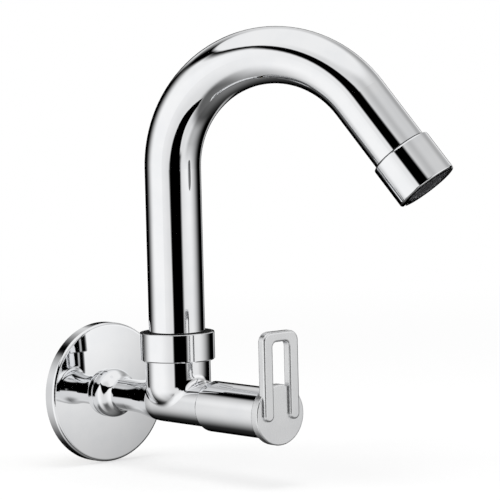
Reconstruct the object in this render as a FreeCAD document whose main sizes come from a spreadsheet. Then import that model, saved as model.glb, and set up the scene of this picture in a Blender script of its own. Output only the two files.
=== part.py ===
import FreeCAD, Part
import math
import os

import Sketcher

# Wall-mounted kitchen tap: a chromed body on a round wall flange, a swivelling
# arched spout with an aerator, and a quarter-turn loop lever on a ceramic valve.
# Frame: the origin is on the inlet axis in the plane of the wall, +Z is up, the
# tap comes out of the wall along -Y and +X is on the user's right.

# Lengths are in millimetres, angles in degrees. Heights are above the inlet axis
# and distances ("dist") are from the wall towards the user.
SIZES = {
    # Fits shared by all pieces
    "overrun": 2.0,
    "running_fit": 0.06,
    "seat_fit": 0.05,
    "turn_gap": 0.4,
    # Wall flange and inlet
    "flange_d": 70.0,
    "flange_depth": 8.0,
    "flange_wall": 1.2,
    "flange_rise": 1.4,
    "flange_round": 1.6,
    "flange_hole_gap": 0.3,
    "flange_ring_cord": 1.8,
    "inlet_thread_d": 20.955,
    "inlet_length": 13.0,
    "inlet_thread_end": 4.0,
    "inlet_relief_d": 20.2,
    "inlet_chamfer": 0.8,
    "inlet_bore_d": 9.5,
    # Body casting
    "ring_d": 24.4,
    "ring_land": 2.4,
    "ring_sweep": 9.2,
    "ring_back_round": 0.6,
    "waist_d": 16.0,
    "waist_length": 7.9,
    "stub_d": 21.2,
    "spout_dist": 62.0,
    "neck_shoulder": 0.5,
    "neck_top": 20.8,
    "neck_drop": 2.0,
    "neck_round": 11.0,
    "neck_blend": 4.0,
    "spigot_shoulder": 1.75,
    "spigot_top": 27.0,
    "spigot_wall": 3.5,
    "spout_bore_floor": 4.0,
    "seat_setback": 9.0,
    "chamber_d": 18.0,
    "valve_thread_d": 19.0,
    "valve_screw_length": 10.5,
    # Ceramic valve
    "seal_d": 14.4,
    "seal_bore_d": 9.6,
    "seal_thick": 2.0,
    "disc_d": 14.2,
    "disc_thick": 3.0,
    "port_inner_d": 4.0,
    "port_outer_d": 11.0,
    "port_half_angle": 40.0,
    "drive_slot_width": 3.0,
    "drive_slot_depth": 1.2,
    "foot_thick": 3.0,
    "slip_washer_thick": 0.9,
    "slip_gap": 0.1,
    "housing_d": 16.4,
    "housing_start_gap": 0.6,
    "window_width": 8.0,
    "window_length": 5.0,
    "land_gap": 3.5,
    "land_length": 4.5,
    "housing_ring_cord": 1.3,
    "shoulder_d": 20.7,
    "shoulder_length": 4.0,
    "hex_across": 16.0,
    "hex_length": 4.0,
    "gland_d": 13.0,
    "spindle_d": 8.0,
    "spindle_ring_cord": 1.1,
    "spindle_ring_pitch": 3.0,
    "spindle_ring_inset": 6.0,
    "clip_thick": 0.8,
    "clip_d": 12.0,
    "clip_depth": 0.7,
    "clip_mouth": 4.5,
    "spline_length": 11.0,
    "spline_depth": 0.5,
    "spline_width": 0.6,
    # Bonnet sleeve
    "sleeve_d": 24.6,
    "sleeve_overlap": 4.0,
    "sleeve_wall": 1.2,
    "sleeve_lip_length": 2.6,
    "sleeve_round": 1.3,
    "sleeve_front_round": 0.4,
    # Lever handle
    "bonnet_length": 46.0,
    "lever_disc_d": 29.2,
    "lever_disc_thick": 4.8,
    "lever_disc_round": 0.7,
    "lever_hub_d": 17.0,
    "lever_hub_length": 9.6,
    "lever_hub_gap": 4.4,
    "lever_cover": 1.6,
    "loop_width": 21.6,
    "loop_height": 40.0,
    "loop_drop": 2.6,
    "loop_leg": 5.8,
    "loop_bar": 5.0,
    "loop_depth": 4.8,
    "loop_proud": 1.8,
    "loop_corner": 5.0,
    "loop_inner_corner": 2.4,
    "loop_round": 1.1,
    "screw_d": 3.0,
    "screw_sink": 0.9,
    "screw_socket_across": 1.5,
    "screw_socket_depth": 1.8,
    # Spout and its swivel
    "tube_d": 27.5,
    "tube_wall": 1.5,
    "spout_rise": 114.5,
    "bend_radius": 54.6,
    "bend_turn": 142.0,
    "tail_length": 32.5,
    "spout_turn": 28.0,
    "nut_wall": 2.75,
    "nut_top": 34.5,
    "nut_lip": 3.2,
    "nut_chamfer": 0.5,
    "nut_round": 0.35,
    "glide_thick": 1.2,
    "bush_flange_inset": 0.5,
    "bush_flange_thick": 2.7,
    "bush_drop": 19.0,
    "bush_wall": 1.19,
    "bush_tenon": 11.0,
    "swivel_ring_cord": 2.2,
    "swivel_ring_inset": 7.0,
    "swivel_ring_pitch": 7.0,
    # Outlet and aerator
    "aerator_wall": 1.7,
    "aerator_length": 21.5,
    "aerator_round": 0.8,
    "tube_entry": 6.0,
    "adapter_flange": 2.0,
    "adapter_tenon": 9.0,
    "adapter_shoulder": 0.75,
    "adapter_thread_length": 6.0,
    "adapter_wall": 3.0,
    "cavity_shoulder": 0.7,
    "outlet_lip": 1.2,
    "outlet_ledge": 1.1,
    "washer_thick": 1.4,
    "notch_width": 3.0,
    "notch_depth": 1.0,
    "screen_thick": 0.5,
    "screen_web": 0.7,
    "jet_plate_thick": 1.4,
    "jet_web": 1.5,
    "jet_ring_inset": 2.55,
    "core_wall": 1.2,
    "comb_rib": 0.6,
    "comb_thick": 2.2,
    "outlet_recess": 0.8,
}
HEX_SIDES = 6
PORT_COUNT = 2
WINDOW_COUNT = 2
NOTCH_COUNT = 2
SPLINE_COUNT = 20
JET_COUNT = 16
COMB_RIB_COUNT = 12
COMB_RING_COUNT = 3
TOUCH = 1e-4

doc = FreeCAD.newDocument("KitchenTap")
sheet = doc.addObject("Spreadsheet::Sheet", "Dims")
for row, (alias, number) in enumerate(SIZES.items(), start=1):
    sheet.set(f"A{row}", alias)
    sheet.set(f"B{row}", str(number))
    sheet.setAlias(f"B{row}", alias)
doc.recompute()


class Size:
    """A length together with the spreadsheet expression that it comes from."""

    def __init__(self, text, value):
        self.text = text
        self.value = value

    def __add__(self, other):
        return Size(f"({self.text} + {other.text})", self.value + other.value)

    def __sub__(self, other):
        return Size(f"({self.text} - {other.text})", self.value - other.value)

    def __mul__(self, other):
        if isinstance(other, Size):
            return Size(f"({self.text} * {other.text})", self.value * other.value)
        return Size(f"({self.text} * {other})", self.value * other)

    def __truediv__(self, other):
        if isinstance(other, Size):
            return Size(f"({self.text} / {other.text})", self.value / other.value)
        return Size(f"({self.text} / {other})", self.value / other)

    def __neg__(self):
        return Size(f"(-{self.text})", -self.value)


def size(alias):
    """The size kept in the spreadsheet under this alias."""
    return Size(f"Dims.{alias}", float(sheet.get(alias)))


def vector(x, y, z=None):
    """A point whose coordinates are sizes."""
    return FreeCAD.Vector(x.value, y.value, z.value if z else 0)


ZERO = Size("0", 0.0)
RUN = size("running_fit")
FIT = size("seat_fit")
OVERRUN = size("overrun")
nodes = []


def origin_plane(body, role):
    """One of the body's own origin planes."""
    return next(item for item in body.Origin.OriginFeatures if item.Role == role)


def add_sketch(body, role, lift=None):
    """A sketch on an origin plane, moved along the plane's normal by lift."""
    sketch = body.newObject("Sketcher::SketchObject", body.Name + "Sketch")
    sketch.AttachmentSupport = (origin_plane(body, role), "")
    sketch.MapMode = "FlatFace"
    if lift is not None:
        sketch.setExpression("AttachmentOffset.Base.z", lift.text)
    return sketch


def hold(sketch, kind, *place_and_size):
    """Adds a dimension to a sketch and binds it to its size."""
    *place, length = place_and_size
    index = sketch.addConstraint(Sketcher.Constraint(kind, *place, length.value))
    sketch.setExpression(f"Constraints[{index}]", length.text)


def arc_between(start, end, radius):
    """An arc from start to end, centred left of that line, or right if radius < 0."""
    run = end - start
    offset = math.sqrt(radius ** 2 - run.Length ** 2 / 4)
    left = FreeCAD.Vector(-run.y, run.x, 0) / run.Length
    centre = (start + end) / 2 + left * math.copysign(offset, radius)
    first, last = (start, end) if radius > 0 else (end, start)
    angles = [math.atan2(p.y - centre.y, p.x - centre.x) for p in (first, last)]
    circle = Part.Circle(centre, FreeCAD.Vector(0, 0, 1), abs(radius))
    return Part.ArcOfCircle(circle, *angles)


def draw_outline(sketch, corners):
    """Closes a loop through corners (x, y) or (x, y, radius of the arc to the next)."""
    points = [vector(x, y) for x, y, *_ in corners]
    ends = []
    for index, (start, corner) in enumerate(zip(points, corners)):
        end = points[(index + 1) % len(points)]
        if len(corner) == 2:
            side = sketch.addGeometry(Part.LineSegment(start, end))
            ends.append((side, 1, 2))
        else:
            side = sketch.addGeometry(arc_between(start, end, corner[2].value))
            ends.append((side, 1, 2) if corner[2].value > 0 else (side, 2, 1))
    for index, (x, y, *bend) in enumerate(corners):
        side, first, last = ends[index]
        nearest = ends[(index + 1) % len(ends)]
        sketch.addConstraint(Sketcher.Constraint("Coincident", side, last, nearest[0], nearest[1]))
        hold(sketch, "DistanceX", -1, 1, side, first, x)
        hold(sketch, "DistanceY", -1, 1, side, first, y)
        if bend:
            round_size = bend[0] if bend[0].value > 0 else -bend[0]
            hold(sketch, "Radius", side, round_size)


def draw_circle(sketch, x, y, radius):
    """Adds a circle with its centre and radius held."""
    side = sketch.addGeometry(Part.Circle(vector(x, y), FreeCAD.Vector(0, 0, 1), radius.value))
    hold(sketch, "DistanceX", -1, 1, side, 3, x)
    hold(sketch, "DistanceY", -1, 1, side, 3, y)
    hold(sketch, "Radius", side, radius)


def add_body(label, placement):
    """An empty body that becomes one node of the part."""
    body = doc.addObject("PartDesign::Body", "".join(word.title() for word in label.split("_")))
    body.Label = label
    body.Placement = placement
    nodes.append(body)
    return body


def revolve(body, corners, kind="PartDesign::Revolution"):
    """Turns a profile of (radius, height) corners about the body's own Z axis."""
    sketch = add_sketch(body, "XZ_Plane")
    draw_outline(sketch, corners)
    turn = body.newObject(kind, body.Name + "Turn")
    turn.Profile = sketch
    turn.ReferenceAxis = (sketch, ["V_Axis"])
    turn.Angle = 360
    sketch.Visibility = False
    doc.recompute()
    return turn


def turned(label, placement, corners):
    """A body made by turning one profile."""
    body = add_body(label, placement)
    revolve(body, corners)
    return body


def tube_profile(inner, outer, low, high):
    """The profile of a plain ring."""
    return [(inner, low), (outer, low), (outer, high), (inner, high)]


def extrude(body, sketch, length, kind="PartDesign::Pad", **options):
    """Pads or pockets a sketch by a size."""
    step = body.newObject(kind, body.Name + "Step")
    step.Profile = sketch
    step.setExpression("Length", length.text)
    for name, setting in options.items():
        setattr(step, name, setting)
    sketch.Visibility = False
    doc.recompute()
    return step


def pattern(body, feature, count):
    """Repeats a feature about the body's own Z axis."""
    ring = body.newObject("PartDesign::PolarPattern", body.Name + "Ring")
    ring.Originals = [feature]
    ring.Axis = (origin_plane(body, "Z_Axis"), [""])
    ring.Angle = 360
    ring.Occurrences = count
    body.Tip = ring
    doc.recompute()
    return ring


def soften(body, radius, wanted, kind="PartDesign::Fillet", measure="Radius"):
    """Rounds or chamfers the edges of the body's last feature that wanted() accepts."""
    feature = body.Tip
    names = [f"Edge{i}" for i, edge in enumerate(feature.Shape.Edges, start=1) if wanted(edge)]
    if not names:
        raise ValueError(f"no edge to soften on {body.Label}")
    edge_step = body.newObject(kind, body.Name + "Edge")
    edge_step.Base = (feature, names)
    edge_step.setExpression(measure, radius.text)
    doc.recompute()
    return edge_step


def ring_edge(radius, height):
    """Accepts the round edges of this radius at this height on the body's own axis."""
    def wanted(edge):
        curve = edge.Curve
        return (
            isinstance(curve, Part.Circle)
            and abs(curve.Radius - radius.value) < TOUCH
            and abs(curve.Center.z - height.value) < TOUCH
        )
    return wanted


def torus(label, placement, centre_radius, cord, heights):
    """A node of equal rubber rings, one at each height on the frame's Z axis."""
    rings = []
    for number, height in enumerate(heights):
        ring = doc.addObject("Part::Torus", f"{label.title().replace('_', '')}{number}")
        ring.setExpression("Radius1", centre_radius.text)
        ring.setExpression("Radius2", (cord / 2).text)
        ring.Placement = placement * FreeCAD.Placement(vector(ZERO, ZERO, height), FreeCAD.Rotation())
        rings.append(ring)
    node = rings[0]
    if len(rings) > 1:
        node = doc.addObject("Part::Compound", label.title().replace("_", "") + "Set")
        node.Links = rings
    node.Label = label
    nodes.append(node)
    doc.recompute()
    return node


# Frames. In the barrel's frame Z runs from the wall towards the user and Y is up.
# The spout's frame has its Z axis on the swivel and its Y axis along the reach, and
# the outlet's frame has its Z axis along the falling water, from the housing's rim.
UP = FreeCAD.Vector(0, 0, 1)
SIDE = FreeCAD.Vector(1, 0, 0)
spout_dist = size("spout_dist")
barrel = FreeCAD.Placement(FreeCAD.Vector(), FreeCAD.Rotation(SIDE, 90))
swivel = FreeCAD.Placement(vector(ZERO, -spout_dist), FreeCAD.Rotation())
swing = FreeCAD.Rotation(UP, 180 + sheet.get("spout_turn"))
spout = FreeCAD.Placement(vector(ZERO, -spout_dist), swing)
bend_turn = sheet.get("bend_turn")
turn = math.radians(bend_turn)
bend_radius = size("bend_radius")
reach = bend_radius.value * (1 - math.cos(turn)) + size("tail_length").value * math.sin(turn)
height = size("spout_rise").value + bend_radius.value * math.sin(turn)
height += size("tail_length").value * math.cos(turn)
seam = FreeCAD.Placement(FreeCAD.Vector(0, reach, height), FreeCAD.Rotation(SIDE, -bend_turn))
outlet = spout * seam

# Wall flange: a pressed dish with a low domed front, flat where the body bears on it,
# and a plain rim that rests on the wall.
flange_r = size("flange_d") / 2
flange_depth = size("flange_depth")
flange_wall = size("flange_wall")
thread_r = size("inlet_thread_d") / 2
relief_r = size("inlet_relief_d") / 2
flange_hole_r = thread_r + size("flange_hole_gap")
ring_r = size("ring_d") / 2
rim_depth = flange_depth - size("flange_rise")
dome_r = (flange_r * flange_r - ring_r * ring_r) / (size("flange_rise") * 2)
flange = turned("wall_flange", barrel, [
    (flange_r - flange_wall, ZERO),
    (flange_r, ZERO),
    (flange_r, rim_depth, dome_r),
    (ring_r, flange_depth),
    (flange_hole_r, flange_depth),
    (flange_hole_r, flange_depth - flange_wall),
    (ring_r, flange_depth - flange_wall, -dome_r),
    (flange_r - flange_wall, rim_depth - flange_wall),
])
soften(flange, size("flange_round"), ring_edge(flange_r, rim_depth))

# Rubber ring that grips the inlet's relief and centres the flange on it.
grip_cord = size("flange_ring_cord")
torus(
    "flange_grip_ring",
    barrel,
    relief_r + FIT + grip_cord / 2,
    grip_cord,
    [flange_depth - flange_wall - grip_cord / 2 - FIT],
)

# Body casting: the turned inlet with its collar ring sweeping down to the waist, then the
# upright neck for the spout with a rounded foot, blended into the barrel, then the bores.
land_edge = flange_depth + size("ring_land")
ring_end = land_edge + size("ring_sweep")
waist_r = size("waist_d") / 2
waist_end = ring_end + size("waist_length")
stub_r = size("stub_d") / 2
tube_r = size("tube_d") / 2
spigot_r = tube_r + size("spigot_shoulder")
neck_r = spigot_r + size("neck_shoulder")
spout_bore_r = spigot_r - size("spigot_wall")
seat_dist = spout_dist - size("seat_setback")
land_start = spout_dist + spout_bore_r + size("land_gap")
land_end = land_start + size("land_length")
stub_end = land_end + size("valve_screw_length")
thread_start = -size("inlet_length")
half_sweep = size("ring_sweep") / 2
half_fall = (ring_r - waist_r) / 2
sweep_r = (half_sweep * half_sweep + half_fall * half_fall) / (half_fall * 2)
half_flare = (seat_dist - waist_end) / 2
half_step = (stub_r - waist_r) / 2
flare_r = (half_flare * half_flare + half_step * half_step) / (half_step * 2)
body = add_body("body_casting", barrel)
revolve(body, [
    (ZERO, thread_start),
    (thread_r - size("inlet_chamfer"), thread_start),
    (thread_r, thread_start + size("inlet_chamfer")),
    (thread_r, size("inlet_thread_end")),
    (relief_r, size("inlet_thread_end")),
    (relief_r, flange_depth),
    (ring_r, flange_depth),
    (ring_r, land_edge, sweep_r),
    (ring_r - half_fall, land_edge + half_sweep, -sweep_r),
    (waist_r, ring_end),
    (waist_r, waist_end, -flare_r),
    (waist_r + half_step, waist_end + half_flare, flare_r),
    (stub_r, seat_dist),
    (stub_r, stub_end),
    (ZERO, stub_end),
])
soften(body, size("ring_back_round"), ring_edge(ring_r, flange_depth))

neck_top = size("neck_top")
neck_round = size("neck_round")
neck_foot = -size("neck_drop")
spigot_top = size("spigot_top")
neck_sketch = add_sketch(body, "YZ_Plane")
draw_outline(neck_sketch, [
    (neck_foot, spout_dist),
    (neck_foot, spout_dist + neck_r - neck_round, -neck_round),
    (neck_foot + neck_round, spout_dist + neck_r),
    (neck_top, spout_dist + neck_r),
    (neck_top, spout_dist + spigot_r),
    (spigot_top, spout_dist + spigot_r),
    (spigot_top, spout_dist),
])
axis_shape = Part.LineSegment(vector(ZERO, spout_dist), vector(neck_top, spout_dist))
axis_line = neck_sketch.addGeometry(axis_shape, True)
hold(neck_sketch, "DistanceX", -1, 1, axis_line, 1, ZERO)
hold(neck_sketch, "DistanceY", -1, 1, axis_line, 1, spout_dist)
hold(neck_sketch, "DistanceX", -1, 1, axis_line, 2, neck_top)
hold(neck_sketch, "DistanceY", -1, 1, axis_line, 2, spout_dist)
neck = body.newObject("PartDesign::Revolution", "NeckTurn")
neck.Profile = neck_sketch
neck.ReferenceAxis = (neck_sketch, ["Axis0"])
neck.Angle = 360
neck_sketch.Visibility = False
doc.recompute()


def crossing_edge(edge):
    """Accepts the free-form edges where the neck meets the barrel, past the waist."""
    return not isinstance(edge.Curve, (Part.Circle, Part.Line)) and edge.BoundBox.ZMax > waist_end.value


soften(body, size("neck_blend"), crossing_edge)

inlet_r = size("inlet_bore_d") / 2
chamber_r = size("chamber_d") / 2
valve_thread_r = size("valve_thread_d") / 2
revolve(body, [
    (ZERO, thread_start - OVERRUN),
    (inlet_r, thread_start - OVERRUN),
    (inlet_r, seat_dist),
    (chamber_r, seat_dist),
    (chamber_r, land_end),
    (valve_thread_r, land_end),
    (valve_thread_r, stub_end + OVERRUN),
    (ZERO, stub_end + OVERRUN),
], "PartDesign::Groove")
bore_floor = size("spout_bore_floor")
bore_sketch = add_sketch(body, "XZ_Plane", -bore_floor)
draw_circle(bore_sketch, ZERO, spout_dist, spout_bore_r)
extrude(body, bore_sketch, spigot_top - bore_floor + OVERRUN, "PartDesign::Pocket")

# Ceramic valve, from the seat outwards: a rubber seat seal, the fixed disc with two
# ports, and the moving disc whose open sides uncover them after a quarter turn.
seal_end = seat_dist + size("seal_thick")
turned("seat_seal", barrel, tube_profile(size("seal_bore_d") / 2, size("seal_d") / 2, seat_dist, seal_end))

disc_r = size("disc_d") / 2
disc_thick = size("disc_thick")
fixed_end = seal_end + disc_thick
port_angle = math.radians(sheet.get("port_half_angle"))
port_cos = math.cos(port_angle)
port_sin = math.sin(port_angle)
port_inner_r = size("port_inner_d") / 2
port_outer_r = size("port_outer_d") / 2


def port_outline(outer):
    """A sector between the inner port radius and this outer radius."""
    inner = port_inner_r
    return [
        (inner * port_cos, inner * -port_sin),
        (outer * port_cos, outer * -port_sin, outer),
        (outer * port_cos, outer * port_sin),
        (inner * port_cos, inner * port_sin, -inner),
    ]


def ceramic_disc(label, placement, start, port_r):
    """A disc from this distance with two ports that reach out to port_r."""
    disc = add_body(label, placement)
    revolve(disc, tube_profile(ZERO, disc_r, start, start + disc_thick))
    port_sketch = add_sketch(disc, "XY_Plane", start - OVERRUN)
    draw_outline(port_sketch, port_outline(port_r))
    depth = disc_thick + OVERRUN + OVERRUN
    port = extrude(disc, port_sketch, depth, "PartDesign::Pocket", Reversed=True)
    pattern(disc, port, PORT_COUNT)
    return disc


ceramic_disc("fixed_disc", barrel, seal_end, port_outer_r)
quarter = FreeCAD.Placement(FreeCAD.Vector(), FreeCAD.Rotation(UP, 90))
moving = ceramic_disc("moving_disc", barrel * quarter, fixed_end, disc_r + OVERRUN)
moving_end = fixed_end + disc_thick
slot_half = size("drive_slot_width") / 2
slot_depth = size("drive_slot_depth")


def bar_outline(half_width, half_length):
    """A rectangle about the axis, long in Y."""
    return [
        (-half_width, -half_length),
        (half_width, -half_length),
        (half_width, half_length),
        (-half_width, half_length),
    ]


slot_sketch = add_sketch(moving, "XY_Plane", moving_end - slot_depth)
draw_outline(slot_sketch, bar_outline(slot_half, disc_r + OVERRUN))
extrude(moving, slot_sketch, slot_depth + OVERRUN, "PartDesign::Pocket", Reversed=True)

# Spindle: a foot with a drive bar for the moving disc, a shaft with two seal grooves
# and a clip groove, and a splined end for the lever.
spindle_r = size("spindle_d") / 2
gland_bore_r = spindle_r + RUN
foot_end = moving_end + size("foot_thick")
lever_front = stub_end + size("bonnet_length")
lever_back = lever_front - size("lever_disc_thick")
hub_start = lever_back - size("lever_hub_length")
socket_end = lever_front - size("lever_cover")
spindle_end = socket_end - size("turn_gap")
seal_cord = size("spindle_ring_cord")
seal_groove_r = spindle_r - seal_cord - FIT
clip_end = hub_start - size("lever_hub_gap")
clip_start = clip_end - size("clip_thick")
gland_end = clip_start - size("turn_gap")
seal_pitch = size("spindle_ring_pitch")
seal_dist = gland_end - size("spindle_ring_inset") - seal_pitch
seal_half = seal_cord / 2 + FIT
stub_face = stub_end + size("shoulder_length")
clip_r = spindle_r - size("clip_depth")
spindle = add_body("spindle", barrel * quarter)
revolve(spindle, [
    (ZERO, moving_end),
    (disc_r, moving_end),
    (disc_r, foot_end),
    (spindle_r, foot_end),
    (spindle_r, seal_dist - seal_half),
    (seal_groove_r, seal_dist - seal_half),
    (seal_groove_r, seal_dist + seal_half),
    (spindle_r, seal_dist + seal_half),
    (spindle_r, seal_dist + seal_pitch - seal_half),
    (seal_groove_r, seal_dist + seal_pitch - seal_half),
    (seal_groove_r, seal_dist + seal_pitch + seal_half),
    (spindle_r, seal_dist + seal_pitch + seal_half),
    (spindle_r, clip_start - FIT),
    (clip_r, clip_start - FIT),
    (clip_r, clip_end + FIT),
    (spindle_r, clip_end + FIT),
    (spindle_r, spindle_end),
    (ZERO, spindle_end),
])
bar_sketch = add_sketch(spindle, "XY_Plane", moving_end - slot_depth + FIT)
draw_outline(bar_sketch, bar_outline(slot_half - FIT, disc_r - slot_half))
extrude(spindle, bar_sketch, slot_depth)
spline_length = size("spline_length")
spline_half = size("spline_width") / 2
spline_sketch = add_sketch(spindle, "XY_Plane", spindle_end - spline_length)
draw_outline(spline_sketch, [
    (-spline_half, spindle_r - size("spline_depth")),
    (spline_half, spindle_r - size("spline_depth")),
    (spline_half, spindle_r + OVERRUN),
    (-spline_half, spindle_r + OVERRUN),
])
groove = extrude(spindle, spline_sketch, spline_length + OVERRUN, "PartDesign::Pocket", Reversed=True)
pattern(spindle, groove, SPLINE_COUNT)
torus("spindle_o_rings", barrel, spindle_r - seal_cord / 2, seal_cord, [seal_dist, seal_dist + seal_pitch])

washer_end = foot_end + size("slip_washer_thick")
turned("slip_washer", barrel, tube_profile(gland_bore_r, disc_r, foot_end, washer_end))

clip = turned("spindle_clip", barrel, tube_profile(clip_r + FIT, size("clip_d") / 2, clip_start, clip_end))
mouth_half = size("clip_mouth") / 2
mouth_sketch = add_sketch(clip, "XY_Plane", clip_start - OVERRUN)
draw_outline(mouth_sketch, [
    (-mouth_half, ZERO),
    (mouth_half, ZERO),
    (mouth_half, size("clip_d")),
    (-mouth_half, size("clip_d")),
])
mouth_depth = size("clip_thick") + OVERRUN + OVERRUN
extrude(clip, mouth_sketch, mouth_depth, "PartDesign::Pocket", Reversed=True)

# Valve housing: holds the discs, screws into the barrel, seals it with a ring on a
# plain land and ends in a hexagon and the spindle's gland. Water leaves by windows.
housing_r = size("housing_d") / 2
housing_start = seat_dist + size("housing_start_gap")
disc_room_r = disc_r + size("turn_gap") / 2
shoulder_r = size("shoulder_d") / 2
land_r = chamber_r - FIT
screw_start = land_end + size("turn_gap")
housing_cord = size("housing_ring_cord")
housing_groove_r = land_r - housing_cord - FIT
housing_ring_dist = (land_start + land_end) / 2
housing_ring_half = housing_cord / 2 + FIT
room_end = washer_end + size("slip_gap")
housing = add_body("valve_housing", barrel)
revolve(housing, [
    (disc_room_r, housing_start),
    (housing_r, housing_start),
    (housing_r, land_start),
    (land_r, land_start),
    (land_r, housing_ring_dist - housing_ring_half),
    (housing_groove_r, housing_ring_dist - housing_ring_half),
    (housing_groove_r, housing_ring_dist + housing_ring_half),
    (land_r, housing_ring_dist + housing_ring_half),
    (land_r, screw_start),
    (valve_thread_r - FIT, screw_start),
    (valve_thread_r - FIT, stub_end),
    (shoulder_r, stub_end),
    (shoulder_r, stub_face),
    (size("gland_d") / 2, stub_face),
    (size("gland_d") / 2, gland_end),
    (gland_bore_r, gland_end),
    (gland_bore_r, room_end),
    (disc_room_r, room_end),
])
corner_share = 1 / math.cos(math.pi / HEX_SIDES)
hex_r = size("hex_across") / 2 * corner_share
hexagon = housing.newObject("PartDesign::AdditivePrism", "HousingHexagon")
hexagon.AttachmentSupport = (origin_plane(housing, "XY_Plane"), "")
hexagon.MapMode = "FlatFace"
hexagon.setExpression("AttachmentOffset.Base.z", stub_face.text)
hexagon.Polygon = HEX_SIDES
hexagon.setExpression("Circumradius", hex_r.text)
hexagon.setExpression("Height", size("hex_length").text)
doc.recompute()
revolve(housing, [
    (ZERO, room_end),
    (gland_bore_r, room_end),
    (gland_bore_r, gland_end + OVERRUN),
    (ZERO, gland_end + OVERRUN),
], "PartDesign::Groove")
window_half = size("window_width") / 2
window_sketch = add_sketch(housing, "YZ_Plane")
draw_outline(window_sketch, [
    (-window_half, fixed_end),
    (window_half, fixed_end),
    (window_half, fixed_end + size("window_length")),
    (-window_half, fixed_end + size("window_length")),
])
window = extrude(housing, window_sketch, housing_r + OVERRUN, "PartDesign::Pocket", Reversed=True)
pattern(housing, window, WINDOW_COUNT)
torus("valve_o_ring", barrel, land_r - housing_cord / 2, housing_cord, [housing_ring_dist])

# Bonnet sleeve: the chromed cover of the valve, centred by a lip on the barrel and
# screwed on the housing's shoulder by an inner rib.
sleeve_r = size("sleeve_d") / 2
sleeve_start = stub_end - size("sleeve_overlap")
sleeve_inner_r = sleeve_r - size("sleeve_wall")
sleeve_end = lever_back - size("turn_gap")
lip_end = sleeve_start + size("sleeve_lip_length")
sleeve = turned("bonnet_sleeve", barrel, [
    (stub_r + FIT, sleeve_start),
    (sleeve_r, sleeve_start),
    (sleeve_r, sleeve_end),
    (sleeve_inner_r, sleeve_end),
    (sleeve_inner_r, stub_face),
    (shoulder_r + FIT, stub_face),
    (shoulder_r + FIT, stub_end),
    (sleeve_inner_r, stub_end),
    (sleeve_inner_r, lip_end),
    (stub_r + FIT, lip_end),
])
soften(sleeve, size("sleeve_round"), ring_edge(sleeve_r, sleeve_start))
soften(sleeve, size("sleeve_front_round"), ring_edge(sleeve_r, sleeve_end))

# Lever handle: a disc with a hub for the spindle and an upright loop whose two legs
# run down over the disc's front as raised ribs with round ends.
lever_r = size("lever_disc_d") / 2
hub_r = size("lever_hub_d") / 2
socket_r = spindle_r + FIT
lever = turned("lever_handle", barrel, [
    (socket_r, hub_start),
    (hub_r, hub_start),
    (hub_r, lever_back),
    (lever_r, lever_back),
    (lever_r, lever_front),
    (ZERO, lever_front),
    (ZERO, socket_end),
    (socket_r, socket_end),
])
soften(lever, size("lever_disc_round"), ring_edge(lever_r, lever_front))
soften(lever, size("lever_disc_round"), ring_edge(lever_r, lever_back))
loop_half = size("loop_width") / 2
loop_leg = size("loop_leg")
loop_inner = loop_half - loop_leg
loop_top = size("loop_height")
leg_round = loop_leg / 2
loop_foot = leg_round - size("loop_drop")
bar_low = loop_top - size("loop_bar")
outer_turn = size("loop_corner")
inner_turn = size("loop_inner_corner")
loop_face = lever_front + size("loop_proud")
loop_back = loop_face - size("loop_depth")
loop_sketch = add_sketch(lever, "XY_Plane", loop_back)
draw_outline(loop_sketch, [
    (-loop_half, loop_foot, leg_round),
    (leg_round - loop_half, loop_foot - leg_round, leg_round),
    (-loop_inner, loop_foot),
    (-loop_inner, bar_low - inner_turn, -inner_turn),
    (inner_turn - loop_inner, bar_low),
    (loop_inner - inner_turn, bar_low, -inner_turn),
    (loop_inner, bar_low - inner_turn),
    (loop_inner, loop_foot, leg_round),
    (loop_half - leg_round, loop_foot - leg_round, leg_round),
    (loop_half, loop_foot),
    (loop_half, loop_top - outer_turn, outer_turn),
    (loop_half - outer_turn, loop_top),
    (outer_turn - loop_half, loop_top, outer_turn),
    (-loop_half, loop_top - outer_turn),
])
extrude(lever, loop_sketch, size("loop_depth"))


def loop_edge(edge):
    """Accepts the loop's edges in its front face, and in its back face above the disc."""
    box = edge.BoundBox
    in_front = abs(box.ZMin - loop_face.value) < TOUCH and abs(box.ZMax - loop_face.value) < TOUCH
    in_back = abs(box.ZMin - loop_back.value) < TOUCH and abs(box.ZMax - loop_back.value) < TOUCH
    return in_front or (in_back and box.YMax > lever_r.value)


soften(lever, size("loop_round"), loop_edge)
screw_r = size("screw_d") / 2
screw_dist = lever_front - size("lever_disc_thick") / 2
screw_sketch = add_sketch(lever, "XZ_Plane")
draw_circle(screw_sketch, ZERO, screw_dist, screw_r + FIT)
extrude(lever, screw_sketch, lever_r + OVERRUN, "PartDesign::Pocket", Reversed=True)

# Grub screw that holds the lever on the spindle, from the disc's underside.
screw_length = lever_r - size("screw_sink") - spindle_r - FIT
screw_frame = FreeCAD.Placement(
    vector(ZERO, -screw_dist, -(spindle_r + FIT)),
    FreeCAD.Rotation(SIDE, 180),
)
screw_body = doc.addObject("Part::Cylinder", "ScrewShank")
screw_body.setExpression("Radius", screw_r.text)
screw_body.setExpression("Height", screw_length.text)
screw_body.Placement = screw_frame
socket_depth = size("screw_socket_depth")
screw_socket = doc.addObject("Part::Prism", "ScrewSocket")
screw_socket.Polygon = HEX_SIDES
screw_socket.setExpression("Circumradius", (size("screw_socket_across") / 2 * corner_share).text)
screw_socket.setExpression("Height", (socket_depth + OVERRUN).text)
socket_shift = vector(ZERO, ZERO, screw_length - socket_depth)
screw_socket.Placement = screw_frame * FreeCAD.Placement(socket_shift, FreeCAD.Rotation())
screw = doc.addObject("Part::Cut", "GrubScrew")
screw.Base = screw_body
screw.Tool = screw_socket
screw.Label = "lever_grub_screw"
nodes.append(screw)
doc.recompute()

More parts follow.
